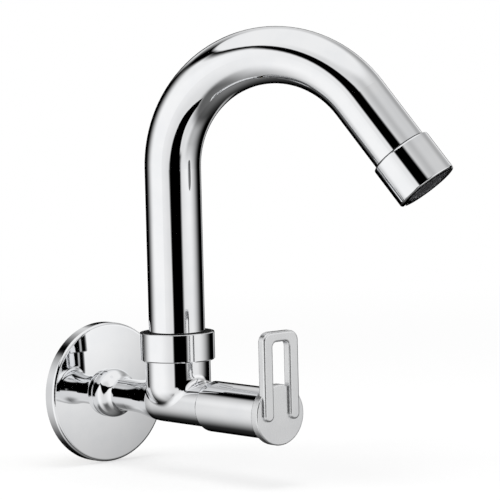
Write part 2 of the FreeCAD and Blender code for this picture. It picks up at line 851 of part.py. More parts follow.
# Spout nut: screwed on the neck, its lip keeps the swivel bush down.
nut_r = spigot_r + FIT + size("nut_wall")
nut_top = size("nut_top")
lip_low = nut_top - size("nut_lip")
nut_bore_r = tube_r + size("turn_gap")
nut = turned("spout_nut", swivel, [
    (spigot_r + FIT, neck_top),
    (nut_r, neck_top),
    (nut_r, nut_top),
    (nut_bore_r, nut_top),
    (nut_bore_r, lip_low),
    (spigot_r + FIT, lip_low),
])
soften(nut, size("nut_chamfer"), ring_edge(nut_r, neck_top), "PartDesign::Chamfer", "Size")
soften(nut, size("nut_round"), ring_edge(nut_r, nut_top))

# Plastic glide ring on the neck's top face.
glide_end = spigot_top + size("glide_thick")
glide_profile = tube_profile(spout_bore_r + FIT, spigot_r - FIT, spigot_top, glide_end)
turned("glide_ring", swivel, glide_profile)

# Swivel bush: brazed into the tube, it turns in the neck's bore on two rubber rings.
bush_low = glide_end + size("slip_gap")
bush_high = bush_low + size("bush_flange_thick")
bush_foot = bush_low - size("bush_drop")
bush_r = spout_bore_r - RUN
bush_flange_r = spigot_r - size("bush_flange_inset")
tube_inner_r = tube_r - size("tube_wall")
swivel_cord = size("swivel_ring_cord")
swivel_groove_r = bush_r - swivel_cord - FIT
bush_bore_r = swivel_groove_r - size("bush_wall")
swivel_half = swivel_cord / 2 + FIT
upper_ring = bush_low - size("swivel_ring_inset")
lower_ring = upper_ring - size("swivel_ring_pitch")
turned("swivel_bush", spout, [
    (bush_bore_r, bush_foot),
    (bush_r, bush_foot),
    (bush_r, lower_ring - swivel_half),
    (swivel_groove_r, lower_ring - swivel_half),
    (swivel_groove_r, lower_ring + swivel_half),
    (bush_r, lower_ring + swivel_half),
    (bush_r, upper_ring - swivel_half),
    (swivel_groove_r, upper_ring - swivel_half),
    (swivel_groove_r, upper_ring + swivel_half),
    (bush_r, upper_ring + swivel_half),
    (bush_r, bush_low),
    (bush_flange_r, bush_low),
    (bush_flange_r, bush_high),
    (tube_inner_r - FIT, bush_high),
    (tube_inner_r - FIT, bush_high + size("bush_tenon")),
    (bush_bore_r, bush_high + size("bush_tenon")),
])
torus("swivel_o_rings", spout, bush_r - swivel_cord / 2, swivel_cord, [lower_ring, upper_ring])

# Spout tube: an upright run, one arched bend and a straight tail into the outlet.
tube = add_body("spout_tube", spout)
spout_rise = size("spout_rise")
tube_entry = size("tube_entry")
path = add_sketch(tube, "YZ_Plane")
bend_start = vector(ZERO, spout_rise)
bend_centre = vector(bend_radius, spout_rise)
bend_out = FreeCAD.Vector(-math.cos(turn), math.sin(turn), 0) * bend_radius.value
tail_way = FreeCAD.Vector(math.sin(turn), math.cos(turn), 0)
tail = size("tail_length") + tube_entry
rise_line = path.addGeometry(Part.LineSegment(vector(ZERO, bush_high), bend_start))
bend_circle = Part.Circle(bend_centre, UP, bend_radius.value)
bend = path.addGeometry(Part.ArcOfCircle(bend_circle, math.pi - turn, math.pi))
tail_start = bend_centre + bend_out
tail_line = path.addGeometry(Part.LineSegment(tail_start, tail_start + tail_way * tail.value))
hold(path, "DistanceX", -1, 1, rise_line, 1, ZERO)
hold(path, "DistanceY", -1, 1, rise_line, 1, bush_high)
hold(path, "DistanceX", -1, 1, rise_line, 2, ZERO)
hold(path, "DistanceY", -1, 1, rise_line, 2, spout_rise)
path.addConstraint(Sketcher.Constraint("Tangent", rise_line, 2, bend, 2))
path.addConstraint(Sketcher.Constraint("Tangent", bend, 1, tail_line, 1))
hold(path, "Radius", bend, bend_radius)
hold(path, "Distance", tail_line, tail)
tail_drop = path.addConstraint(Sketcher.Constraint("Angle", tail_line, math.pi / 2 - turn))
path.setExpression(f"Constraints[{tail_drop}]", "(90 - Dims.bend_turn) * 1 deg")
section = add_sketch(tube, "XY_Plane", bush_high)
draw_circle(section, ZERO, ZERO, tube_r)
draw_circle(section, ZERO, ZERO, tube_inner_r)
doc.recompute()
pipe = tube.newObject("PartDesign::AdditivePipe", "TubePipe")
pipe.Profile = section
pipe.Spine = (path, ["Edge1", "Edge2", "Edge3"])
path.Visibility = False
section.Visibility = False
doc.recompute()

# Outlet adapter: brazed into the tube's end, it carries the aerator's thread.
adapter_start = tube_entry - size("adapter_tenon")
adapter_face = tube_entry + size("adapter_flange")
adapter_end = adapter_face + size("adapter_thread_length")
adapter_thread_r = tube_r - size("adapter_shoulder")
adapter_bore_r = adapter_thread_r - size("adapter_wall")
turned("outlet_adapter", outlet, [
    (adapter_bore_r, adapter_start),
    (tube_inner_r - FIT, adapter_start),
    (tube_inner_r - FIT, tube_entry),
    (tube_r, tube_entry),
    (tube_r, adapter_face),
    (adapter_thread_r, adapter_face),
    (adapter_thread_r, adapter_end),
    (adapter_bore_r, adapter_end),
])

# Aerator: a chromed housing with two spanner notches in its rim holds a rubber
# washer, a screen, a core with a ring of jets and a comb that straightens the water.
aerator_r = tube_r + FIT + size("aerator_wall")
aerator_end = size("aerator_length")
cavity_r = adapter_thread_r - size("cavity_shoulder")
cavity_end = aerator_end - size("outlet_lip")
outlet_r = cavity_r - size("outlet_ledge")
aerator = turned("aerator_housing", outlet, [
    (tube_r + FIT, ZERO),
    (aerator_r, ZERO),
    (aerator_r, aerator_end),
    (outlet_r, aerator_end),
    (outlet_r, cavity_end),
    (cavity_r, cavity_end),
    (cavity_r, adapter_end),
    (adapter_thread_r + FIT, adapter_end),
    (adapter_thread_r + FIT, adapter_face),
    (tube_r + FIT, adapter_face),
])
soften(aerator, size("aerator_round"), ring_edge(aerator_r, ZERO))
soften(aerator, size("aerator_round"), ring_edge(aerator_r, aerator_end))
notch_half = size("notch_width") / 2
notch_sketch = add_sketch(aerator, "XY_Plane", aerator_end - size("notch_depth"))
draw_outline(notch_sketch, [
    (-notch_half, outlet_r - OVERRUN),
    (notch_half, outlet_r - OVERRUN),
    (notch_half, aerator_r + OVERRUN),
    (-notch_half, aerator_r + OVERRUN),
])
notch_depth = size("notch_depth") + OVERRUN
notch = extrude(aerator, notch_sketch, notch_depth, "PartDesign::Pocket", Reversed=True)
pattern(aerator, notch, NOTCH_COUNT)

core_r = cavity_r - FIT
skirt_r = core_r - size("core_wall")
washer_low = adapter_end + size("washer_thick")
turned("aerator_washer", outlet, tube_profile(adapter_bore_r, core_r, adapter_end, washer_low))


def perforate(node, ring_r, web, start, thick):
    """Cuts a ring of round holes, a web apart, right through a plate of the node."""
    hole_sketch = add_sketch(node, "XY_Plane", start - OVERRUN)
    draw_circle(hole_sketch, ZERO, ring_r, ring_r * half_pitch_share - web / 2)
    hole_depth = thick + OVERRUN + OVERRUN
    hole = extrude(node, hole_sketch, hole_depth, "PartDesign::Pocket", Reversed=True)
    pattern(node, hole, JET_COUNT)


jet_ring_r = skirt_r - size("jet_ring_inset")
half_pitch_share = math.sin(math.pi / JET_COUNT)
screen_end = washer_low + size("screen_thick")
screen = turned("aerator_screen", outlet, [
    (ZERO, washer_low),
    (core_r, washer_low),
    (core_r, screen_end),
    (ZERO, screen_end),
])
perforate(screen, jet_ring_r, size("screen_web"), washer_low, size("screen_thick"))

plate_end = screen_end + size("jet_plate_thick")
core = turned("aerator_core", outlet, [
    (ZERO, screen_end),
    (core_r, screen_end),
    (core_r, cavity_end),
    (skirt_r, cavity_end),
    (skirt_r, plate_end),
    (ZERO, plate_end),
])
perforate(core, jet_ring_r, size("jet_web"), screen_end, size("jet_plate_thick"))

comb_end = cavity_end - size("outlet_recess")
comb_start = comb_end - size("comb_thick")
comb_r = skirt_r - FIT
rib_half = size("comb_rib") / 2
comb_pitch = comb_r / COMB_RING_COUNT
comb = add_body("aerator_comb", outlet)
rib_sketch = add_sketch(comb, "XY_Plane", comb_start)
draw_outline(rib_sketch, [
    (-rib_half, -rib_half),
    (rib_half, -rib_half),
    (rib_half, comb_r - rib_half),
    (-rib_half, comb_r - rib_half),
])
rib = extrude(comb, rib_sketch, size("comb_thick"))
pattern(comb, rib, COMB_RIB_COUNT)
for number in range(1, COMB_RING_COUNT):
    mid = comb_pitch * number
    revolve(comb, tube_profile(mid - rib_half, mid + rib_half, comb_start, comb_end))
revolve(comb, tube_profile(comb_r - rib_half - rib_half, comb_r, comb_start, comb_end))

# Every object is checked before the nodes are written.
doc.recompute()
for item in doc.Objects:
    if "Invalid" in item.State or "Error" in item.State:
        raise ValueError(f"{item.Label} is not built: {item.State}")
for node in nodes:
    if node.Shape.isNull() or not node.Shape.isValid():
        raise ValueError(f"{node.Label} has no valid shape")
os.makedirs("parts", exist_ok=True)
for node in nodes:
    node.Shape.exportStep(f"parts/{node.Label}.step")
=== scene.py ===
import math

import bpy
import numpy as np
from mathutils import Matrix, Vector


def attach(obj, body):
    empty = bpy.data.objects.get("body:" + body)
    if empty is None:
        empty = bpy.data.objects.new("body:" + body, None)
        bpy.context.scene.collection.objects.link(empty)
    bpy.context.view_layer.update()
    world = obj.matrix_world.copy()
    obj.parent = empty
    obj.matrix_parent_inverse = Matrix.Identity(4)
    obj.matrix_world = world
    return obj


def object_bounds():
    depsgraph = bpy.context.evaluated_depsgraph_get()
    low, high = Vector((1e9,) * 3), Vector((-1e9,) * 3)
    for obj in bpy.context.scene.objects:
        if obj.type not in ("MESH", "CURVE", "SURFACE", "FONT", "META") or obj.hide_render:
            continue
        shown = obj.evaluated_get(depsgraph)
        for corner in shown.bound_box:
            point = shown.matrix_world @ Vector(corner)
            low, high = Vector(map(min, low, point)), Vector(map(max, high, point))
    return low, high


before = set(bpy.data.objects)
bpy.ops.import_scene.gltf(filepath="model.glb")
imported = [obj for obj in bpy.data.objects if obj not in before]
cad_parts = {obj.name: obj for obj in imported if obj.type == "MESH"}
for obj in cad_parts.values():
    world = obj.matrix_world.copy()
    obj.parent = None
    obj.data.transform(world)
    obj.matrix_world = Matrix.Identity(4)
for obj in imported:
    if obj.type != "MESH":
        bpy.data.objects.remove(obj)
cad_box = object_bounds()


# The body is one brass casting: inlet shank, waist, upright neck and valve stub.
# It is machined where it seals, polished outside and chromed; its bores and the shank stay bare brass.
# The shank's pipe thread is cut on a lathe and screws into the wall fitting.
MM = 0.001


class Wire:
    """A value running through a finish's nodes. Sums on it add Math nodes to the same finish."""

    def __init__(self, tree, end=None):
        self.tree = tree
        self.end = end

    def node(self, kind, settings, feeds, outlet=0):
        """Adds a node: first its settings, then what feeds its sockets. Gives one of its outlets."""
        made = self.tree.nodes.new("ShaderNode" + kind)
        for name, value in settings.items():
            setattr(made, name, value)
        for place, value in feeds.items():
            if isinstance(value, Wire):
                self.tree.links.new(value.end, made.inputs[place])
            else:
                made.inputs[place].default_value = value
        return Wire(self.tree, made.outputs[outlet])

    def maths(self, operation, first, second=0.0, clamp=False):
        """One Math node on two values."""
        return self.node("Math", {"operation": operation, "use_clamp": clamp}, {0: first, 1: second})

    def __add__(self, other):
        return self.maths("ADD", self, other)

    def __radd__(self, other):
        return self.maths("ADD", other, self)

    def __sub__(self, other):
        return self.maths("SUBTRACT", self, other)

    def __rsub__(self, other):
        return self.maths("SUBTRACT", other, self)

    def __mul__(self, other):
        return self.maths("MULTIPLY", self, other)

    def __rmul__(self, other):
        return self.maths("MULTIPLY", other, self)

    def __truediv__(self, other):
        return self.maths("DIVIDE", self, other)

    def step(self, low, high):
        """0 up to low, 1 from high on, with a smooth rise between."""
        settings = {"interpolation_type": "SMOOTHSTEP"}
        return self.node("MapRange", settings, {"Value": self, "From Min": low, "From Max": high})

    def fade(self, low, high):
        """1 up to low, 0 from high on, with a smooth fall between."""
        return 1 - self.step(low, high)

    def sine(self, wavelength):
        """A wave between 0 and 1 that repeats each wavelength."""
        return self.maths("SINE", self * (2 * math.pi / wavelength)) * 0.5 + 0.5

    def noise(self, per_metre, detail=2.0, rough=0.5):
        """Cloudy noise from 0 to 1 at a place, with so many clouds to the metre."""
        feeds = {"Vector": self, "Scale": per_metre, "Detail": detail, "Roughness": rough}
        return self.node("TexNoise", {}, feeds)

    def stretched(self, across, along, up):
        """The place, scaled by its own factor on each axis."""
        return self.node("Mapping", {"vector_type": "POINT"}, {"Vector": self, "Scale": (across, along, up)})

    def length(self):
        """The length of a vector."""
        return self.node("VectorMath", {"operation": "LENGTH"}, {0: self}, "Value")

    def axis(self, letter):
        """One coordinate of a place."""
        return self.node("SeparateXYZ", {}, {0: self}, "XYZ".index(letter))

    def tint(self, first, second):
        """A colour that goes from the first to the second as this value goes from 0 to 1."""
        settings = {"data_type": "RGBA", "blend_type": "MIX"}
        return self.node("Mix", settings, {0: self, 6: first, 7: second}, 2)

    def relief(self, height):
        """The surface's direction where this value, from 0 to 1, lifts it by up to a height."""
        return self.node("Bump", {}, {"Height": self, "Distance": height, "Strength": 1.0})


def finish(name, build):
    """A finish: `build` takes the place on the piece and gives the shader's socket values."""
    material = bpy.data.materials.new(name)
    material.use_nodes = True
    tree = material.node_tree
    shader = tree.nodes["Principled BSDF"]
    place = Wire(tree).node("TexCoord", {}, {}, "Object")
    for socket, value in build(place).items():
        if isinstance(value, Wire):
            tree.links.new(value.end, shader.inputs[socket])
        else:
            shader.inputs[socket].default_value = value
    return material


def dress(material, *names):
    """Gives a finish to CAD nodes."""
    for name in names:
        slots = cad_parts[name].data.materials
        slots.clear()
        slots.append(material)


CHROME_LIGHT = (0.905, 0.91, 0.92, 1)
CHROME_DEEP = (0.87, 0.88, 0.895, 1)
CHROME_ROUGH = 0.018
HAZE_ROUGH = 0.018
SPECK_ROUGH = 0.02
WAVE_HEIGHT = 0.02 * MM
RIPPLE_SHARE = 0.06


def chrome_values(place):
    """Polished plate: a slow haze from the buffing wheel stirs the gloss, and waves of a few microns,
    some centimetres long, bend the reflections a little, as they do on a hand-polished casting."""
    haze = place.noise(per_metre=70, detail=4, rough=0.6)
    specks = place.noise(per_metre=1400)
    waves = place.noise(per_metre=26, detail=1) + place.noise(per_metre=160, detail=1) * RIPPLE_SHARE
    hazed = CHROME_ROUGH + haze.step(low=0.4, high=0.8) * HAZE_ROUGH
    return {
        "Base Color": haze.step(low=0.35, high=0.7).tint(CHROME_LIGHT, CHROME_DEEP),
        "Metallic": 1.0,
        "Roughness": hazed + specks.step(low=0.62, high=0.75) * SPECK_ROUGH,
        "Normal": waves.relief(WAVE_HEIGHT),
    }


chrome = finish("polished_chrome", chrome_values)

BRASS_LIGHT = (0.80, 0.62, 0.32, 1)
BRASS_DULL = (0.62, 0.45, 0.21, 1)
BRASS_ROUGH = 0.2
TARNISH_ROUGH = 0.12
TOOL_FEED = 0.3 * MM
TOOL_LINE_HEIGHT = 0.006 * MM


def brass_values(place):
    """Turned bare brass: fine tool lines round the barrel and a warm, uneven tarnish."""
    lines = place.axis("Y").sine(TOOL_FEED)
    tarnish = place.noise(per_metre=260, detail=3).step(low=0.3, high=0.75)
    return {
        "Base Color": tarnish.tint(BRASS_LIGHT, BRASS_DULL),
        "Metallic": 1.0,
        "Roughness": BRASS_ROUGH + tarnish * TARNISH_ROUGH,
        "Normal": lines.relief(TOOL_LINE_HEIGHT),
    }


brass = finish("turned_brass", brass_values)

INLET_BORE = 4.9 * MM
BORE_EDGE = 0.2 * MM
PLATING_END = -1.2 * MM
BARE_START = -0.6 * MM


def casting_values(place):
    """Chrome outside; bare brass behind the wall face and in the inlet's bore, near the axis."""
    values = chrome_values(place)
    bare = brass_values(place)
    radius = place.stretched(across=1, along=0, up=1).length()
    behind_wall = place.axis("Y").step(PLATING_END, BARE_START)
    in_bore = radius.fade(INLET_BORE, INLET_BORE + BORE_EDGE)
    brass_share = radius.maths("MAXIMUM", behind_wall, in_bore)
    values["Base Color"] = brass_share.tint(values["Base Color"], bare["Base Color"])
    values["Roughness"] = values["Roughness"] + brass_share * bare["Roughness"]
    return values


dress(finish("chromed_casting", casting_values), "body_casting")


def surface(name, points, closed=False):
    """A mesh from a grid of points, rows by columns by 3. If closed, the columns join round and the ends
    get caps."""
    rows, columns = points.shape[:2]
    corner = np.arange(rows * columns).reshape(rows, columns)
    ring = np.hstack([corner, corner[:, :1]]) if closed else corner
    quads = np.stack([ring[:-1, :-1], ring[:-1, 1:], ring[1:, 1:], ring[1:, :-1]], axis=-1)
    caps = [corner[0, ::-1].tolist(), corner[-1].tolist()] if closed else []
    mesh = bpy.data.meshes.new(name)
    mesh.from_pydata(points.reshape(-1, 3), [], quads.reshape(-1, 4).tolist() + caps)
    mesh.shade_smooth()
    thing = bpy.data.objects.new(name, mesh)
    bpy.context.scene.collection.objects.link(thing)
    return thing


INCH = 25.4 * MM
TURNS_PER_INCH = 14
THREAD_RADIUS = 10.4775 * MM
THREAD_PITCH = INCH / TURNS_PER_INCH
THREAD_START = 12.4 * MM
THREAD_END = -3.2 * MM
THREAD_CREST = 0.28 * MM
THREAD_HALF_WIDTH = 0.42 * THREAD_PITCH
TOOTH_FOOT = 0.25
TOOTH_FULLNESS = 0.8
TOOTH_POINTS = 9
RUN_OUT_TURNS = 0.5
RUN_OUT_LEAST = 0.05
STEPS_PER_TURN = 60


def inlet_thread():
    """A ridge carried round the shank on a helix. Across it the height follows a rounded tooth, a cosine
    to a power below one, from a foot just under the shank's face over the crest to the other foot; along
    it the tooth grows over the first half turn and dies away over the last."""
    turns = (THREAD_START - THREAD_END) / THREAD_PITCH
    turn, across = np.meshgrid(
        np.linspace(0, turns, int(turns * STEPS_PER_TURN)), np.linspace(-1, 1, TOOTH_POINTS), indexing="ij")
    grown = np.clip(np.minimum(turn, turns - turn) / RUN_OUT_TURNS, RUN_OUT_LEAST, 1)
    tooth = (1 + TOOTH_FOOT) * np.cos(across * np.pi / 2) ** TOOTH_FULLNESS
    radius = THREAD_RADIUS + THREAD_CREST * (grown * tooth - TOOTH_FOOT)
    angle = 2 * np.pi * turn
    along = THREAD_START - THREAD_PITCH * turn + across * THREAD_HALF_WIDTH * grown
    return np.stack([radius * np.cos(angle), along, radius * np.sin(angle)], -1)


thread = surface("inlet_thread", inlet_thread(), closed=True)
thread.data.materials.append(brass)
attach(thread, "tap_body")


# The wall flange is a brass cover, pressed to a dish, smoothed on a lathe and chromed outside.
# Its inside is left dull. A rubber ring there grips the shank, so that the cover stays against the tiles.
FLANGE_INSIDE = 33.9 * MM
FLANGE_RIM = 34.3 * MM
FLANGE_INSIDE_DEPTH = 7.4 * MM
FLANGE_INSIDE_FALL = 1.4 * MM
FLANGE_SKIN = 0.1 * MM
DULL_LIGHT = (0.62, 0.58, 0.50, 1)
DULL_STAIN = (0.50, 0.44, 0.33, 1)
DULL_ROUGH = 0.28
SPUN_RING_PITCH = 0.5 * MM
SPUN_RING_ROUGH = 0.08
STAIN_ROUGH = 0.1


def flange_values(place):
    """Chrome; within the rim, behind a dome that falls from the hub to the rim with the square of the
    radius, a thin dull plate with spun rings."""
    values = chrome_values(place)
    radius = place.stretched(across=1, along=0, up=1).length()
    share = radius / FLANGE_INSIDE
    dome = FLANGE_INSIDE_DEPTH - FLANGE_INSIDE_FALL * share * share
    behind_dome = (dome + place.axis("Y")).step(-FLANGE_SKIN, FLANGE_SKIN)
    inside = behind_dome * radius.fade(FLANGE_INSIDE, FLANGE_RIM)
    rings = radius.sine(SPUN_RING_PITCH)
    stain = place.noise(per_metre=300, detail=3).step(low=0.3, high=0.75)
    dull_rough = DULL_ROUGH + SPUN_RING_ROUGH * rings + STAIN_ROUGH * stain
    values["Base Color"] = inside.tint(values["Base Color"], stain.tint(DULL_LIGHT, DULL_STAIN))
    values["Roughness"] = values["Roughness"] + inside * dull_rough
    return values


dress(finish("chromed_flange", flange_values), "wall_flange")

RUBBER_BLACK = (0.022, 0.022, 0.023, 1)
RUBBER_BLOOM = (0.06, 0.06, 0.058, 1)
RUBBER_ROUGH = 0.5
BLOOM_ROUGH = 0.2
RUBBER_GRAIN_ROUGH = 0.1
RUBBER_GRAIN_HEIGHT = 0.02 * MM


def rubber_values(place):
    """Moulded black rubber with a fine grain and a greyish bloom."""
    grain = place.noise(per_metre=5200)
    bloom = place.noise(per_metre=420, detail=3).step(low=0.45, high=0.8)
    return {
        "Base Color": bloom.tint(RUBBER_BLACK, RUBBER_BLOOM),
        "Roughness": RUBBER_ROUGH + bloom * BLOOM_ROUGH + grain * RUBBER_GRAIN_ROUGH,
        "Normal": grain.relief(RUBBER_GRAIN_HEIGHT),
    }


rubber = finish("black_rubber", rubber_values)
dress(rubber, "flange_grip_ring")


# The valve is a quarter-turn cartridge: a rubber seat seal, two lapped alumina discs and a turned brass
# housing that screws into the barrel. The brass spindle turns the outer disc; rubber rings seal it,
# an acetal washer takes its thrust and a steel clip keeps it in.
dress(rubber, "seat_seal", "valve_o_ring", "spindle_o_rings")

ALUMINA_LIGHT = (0.90, 0.89, 0.85, 1)
ALUMINA_DEEP = (0.82, 0.80, 0.75, 1)
LAPPED_ROUGH = 0.14
ALUMINA_GRAIN_ROUGH = 0.12
ALUMINA_GRAIN_HEIGHT = 0.004 * MM


def ceramic_values(place):
    """Lapped alumina: off-white, finely speckled, nearly polished."""
    grain = place.noise(per_metre=6000, detail=3)
    cloud = place.noise(per_metre=500, detail=3)
    return {
        "Base Color": cloud.step(low=0.3, high=0.7).tint(ALUMINA_LIGHT, ALUMINA_DEEP),
        "Roughness": LAPPED_ROUGH + grain * ALUMINA_GRAIN_ROUGH,
        "Normal": grain.relief(ALUMINA_GRAIN_HEIGHT),
    }


dress(finish("lapped_ceramic", ceramic_values), "fixed_disc", "moving_disc")
dress(brass, "valve_housing", "spindle")

ACETAL_LIGHT = (0.88, 0.88, 0.86, 1)
ACETAL_DEEP = (0.80, 0.80, 0.77, 1)
ACETAL_ROUGH = 0.38
FLOW_ROUGH = 0.12
FLOW_HEIGHT = 0.01 * MM


def acetal_values(place):
    """Moulded white acetal with a faint flow pattern."""
    flow = place.stretched(across=1, along=0.3, up=1).noise(per_metre=520, detail=3)
    return {
        "Base Color": flow.step(low=0.3, high=0.7).tint(ACETAL_LIGHT, ACETAL_DEEP),
        "Roughness": ACETAL_ROUGH + flow * FLOW_ROUGH,
        "Normal": flow.relief(FLOW_HEIGHT),
    }


acetal = finish("white_acetal", acetal_values)
dress(acetal, "slip_washer")

STEEL_LIGHT = (0.62, 0.62, 0.61, 1)
STEEL_DEEP = (0.52, 0.52, 0.515, 1)
STEEL_ROUGH = 0.22
BRUSH_ROUGH = 0.15
BRUSH_HEIGHT = 0.004 * MM


def steel_values(place):
    """Stainless steel with short brushed lines."""
    brush = place.stretched(across=900, along=900, up=9000).noise(per_metre=1)
    return {
        "Base Color": brush.tint(STEEL_LIGHT, STEEL_DEEP),
        "Metallic": 1.0,
        "Roughness": STEEL_ROUGH + brush * BRUSH_ROUGH,
        "Normal": brush.relief(BRUSH_HEIGHT),
    }


steel = finish("stainless_steel", steel_values)
dress(steel, "spindle_clip")


# The sleeve is a turned brass tube, polished and chromed, that hides the valve between body and lever.
# A lip centres it on the barrel's end, and an inner rib screws on the valve housing's shoulder.
dress(chrome, "bonnet_sleeve")


# The lever is one forging: a disc on the spindle's splines, and a closed loop whose legs run down over it.
# It is ground flat in front and plated over a fine satin, and a steel grub screw from below locks it.
SATIN_LIGHT = (0.84, 0.845, 0.85, 1)
SATIN_DEEP = (0.80, 0.805, 0.815, 1)
SATIN_ROUGH = 0.22
GRINDING_ROUGH = 0.08
SATIN_HAZE_ROUGH = 0.04
GRINDING_HEIGHT = 0.001 * MM


def satin_values(place):
    """Plate over fine upright grinding lines, so that flat faces shine softly."""
    lines = place.stretched(across=6000, along=6000, up=90).noise(per_metre=1, detail=3, rough=0.6)
    haze = place.noise(per_metre=90, detail=3)
    return {
        "Base Color": haze.step(low=0.3, high=0.7).tint(SATIN_LIGHT, SATIN_DEEP),
        "Metallic": 1.0,
        "Roughness": SATIN_ROUGH + lines * GRINDING_ROUGH + haze * SATIN_HAZE_ROUGH,
        "Normal": lines.relief(GRINDING_HEIGHT),
    }


dress(finish("satin_chrome", satin_values), "lever_handle")
dress(steel, "lever_grub_screw")


# The spout is a bent brass tube, polished and chromed. A brass bush brazed into it swivels in the neck on
# two rubber rings and an acetal glide ring, and a chromed nut keeps it down. Shade is painted dark on the
# tube where the aerator meets it, and on the nut's top inside its rim.
SEAM = np.array((55.2, -165.9, 122.5)) * MM
OUTLET_WAY = np.array((0.289, -0.544, -0.788))
LINE_START = -0.8 * MM
LINE_FULL = -0.5 * MM
SEAM_SHADE_COLOUR = (0.03, 0.03, 0.03, 1)
SEAM_SHADE_ROUGH = 0.4
TAIL_LOW = 80 * MM
TAIL_FULL = 90 * MM


def tube_values(place):
    """Chrome that darkens over the last millimetre before the plane of the aerator's rim, on the tail: a
    painted shade line at the seam.
    """
    values = chrome_values(place)
    reach = place.node("VectorMath", {"operation": "DOT_PRODUCT"}, {0: place, 1: OUTLET_WAY}, "Value")
    past_seam = reach - float(SEAM @ OUTLET_WAY)
    # Painted shade: a dark, rougher band on the tube just above the aerator's rim.
    line = past_seam.step(LINE_START, LINE_FULL) * place.axis("Z").step(TAIL_LOW, TAIL_FULL)
    values["Base Color"] = line.tint(values["Base Color"], SEAM_SHADE_COLOUR)
    values["Roughness"] = values["Roughness"] + SEAM_SHADE_ROUGH * line
    return values


dress(finish("chromed_tube", tube_values), "spout_tube")

NUT_AXIS = (0, -62 * MM, 0)
NUT_FACE_LOW = 34.2 * MM
NUT_FACE_FULL = 34.4 * MM
NUT_RIM = 17.0 * MM
NUT_RIM_EDGE = 0.5 * MM
NUT_FACE_SHADE_COLOUR = (0.015, 0.015, 0.015, 1)
NUT_FACE_ROUGH = 0.85


def nut_values(place):
    """Chrome; the top face inside the rim is painted dark and made rough: painted shade for the gap round the
    tube.
    """
    values = chrome_values(place)
    offset = place.node("VectorMath", {"operation": "SUBTRACT"}, {0: place, 1: NUT_AXIS})
    radius = offset.stretched(across=1, along=1, up=0).length()
    # Painted shade: the nut's top face inside its rim turns dark and rough.
    face = place.axis("Z").step(NUT_FACE_LOW, NUT_FACE_FULL) * radius.fade(NUT_RIM, NUT_RIM + NUT_RIM_EDGE)
    values["Base Color"] = face.tint(values["Base Color"], NUT_FACE_SHADE_COLOUR)
    values["Roughness"] = values["Roughness"] + NUT_FACE_ROUGH * face
    return values


dress(finish("chromed_nut", nut_values), "spout_nut")
dress(acetal, "glide_ring")
dress(brass, "swivel_bush")
dress(rubber, "swivel_o_rings")


# The aerator screws on a threaded brass adapter that is brazed into the tube's end. Its chromed housing,
# with two spanner notches in the rim, holds a rubber washer, a steel screen, and a jet core and a comb
# of moulded plastic.
dress(brass, "outlet_adapter")
dress(chrome, "aerator_housing")
dress(rubber, "aerator_washer")
dress(steel, "aerator_screen")

PLASTIC_DARK = (0.05, 0.05, 0.054, 1)
PLASTIC_WORN = (0.075, 0.075, 0.08, 1)
PLASTIC_ROUGH = 0.42
SPARK_GRAIN_ROUGH = 0.15
SPARK_GRAIN_HEIGHT = 0.02 * MM


def dark_plastic_values(place):
    """Moulded dark grey plastic with a fine spark grain."""
    grain = place.noise(per_metre=4200)
    return {
        "Base Color": grain.tint(PLASTIC_DARK, PLASTIC_WORN),
        "Roughness": PLASTIC_ROUGH + grain * SPARK_GRAIN_ROUGH,
        "Normal": grain.relief(SPARK_GRAIN_HEIGHT),
    }


dress(finish("dark_plastic", dark_plastic_values), "aerator_core", "aerator_comb")


# The camera stands to the left of the tap, slightly above it, and looks at it through a long lens.
# It is moved sideways until the aim, half-way up the spout's upright run, falls on its pixel.
scene = bpy.context.scene
scene.view_settings.view_transform = "Standard"

VIEW_AZIMUTH = -40.0
VIEW_RISE = 5.0
VIEW_ROLL = -1.4
VIEW_DISTANCE = 1.7
PIXELS_PER_METRE = 2049.0
PICTURE = 500.0
AIM_PIXEL = (171.5, 218.1)
AIM = Vector((0, -60 * MM, 90 * MM))
SENSOR_WIDTH = 36.0
NEAREST_SEEN = 0.05


def outward(bearing, rise):
    """The way from the tap at a bearing, 0 towards the user and growing to the user's right, and at a rise
    above level, both in radians: sine and cosine of the bearing, times the rise's cosine, and its sine."""
    return np.stack([np.sin(bearing) * np.cos(rise), -np.cos(bearing) * np.cos(rise), np.sin(rise)], -1)


bearing, rise, roll = map(math.radians, (VIEW_AZIMUTH, VIEW_RISE, VIEW_ROLL))
back = Vector(outward(bearing, rise))
side = Vector((math.cos(bearing), math.sin(bearing), 0))
upright = back.cross(side)
right = math.cos(roll) * side + math.sin(roll) * upright
top = math.cos(roll) * upright - math.sin(roll) * side
middle = (AIM + right * ((PICTURE / 2 - AIM_PIXEL[0]) / PIXELS_PER_METRE)
          + top * ((AIM_PIXEL[1] - PICTURE / 2) / PIXELS_PER_METRE))
lens = bpy.data.cameras.new("long_lens")
lens.sensor_width = SENSOR_WIDTH
lens.lens = SENSOR_WIDTH * PIXELS_PER_METRE * VIEW_DISTANCE / PICTURE
lens.clip_start = NEAREST_SEEN
camera = bpy.data.objects.new("camera", lens)
pose = Matrix((right, top, back)).transposed().to_4x4()
pose.translation = middle + back * VIEW_DISTANCE
camera.matrix_world = pose
scene.collection.objects.link(camera)
scene.camera = camera


# The floor is a wide disc of white paper just under the flange's rim, where the tap's shadow falls.
# Polished metal doesn't show it, because the light tent has a ground of its own.
FLOOR_GAP = 0.5 * MM
FLOOR_LEVEL = cad_box[0].z - FLOOR_GAP
FLOOR_REACH = 6.0
FLOOR_SPOKES = 65
FLOOR_RINGS = 13
FLOOR_GLOW = 0.6
SHADOW_REACH = (0.25, 0.9)
PAPER = (0.9, 0.9, 0.9, 1)
WHITE = (1, 1, 1, 1)


def seen(tree):
    """1 for a ray from the camera, or one that metal or glass sends on, and 0 for light on matt surfaces."""
    ray = tree.nodes.new("ShaderNodeLightPath")
    outlets = ("Is Camera Ray", "Is Glossy Ray", "Is Transmission Ray")
    straight, mirrored, passed = (Wire(tree, ray.outputs[name]) for name in outlets)
    return straight.maths("ADD", straight + mirrored, passed, clamp=True)


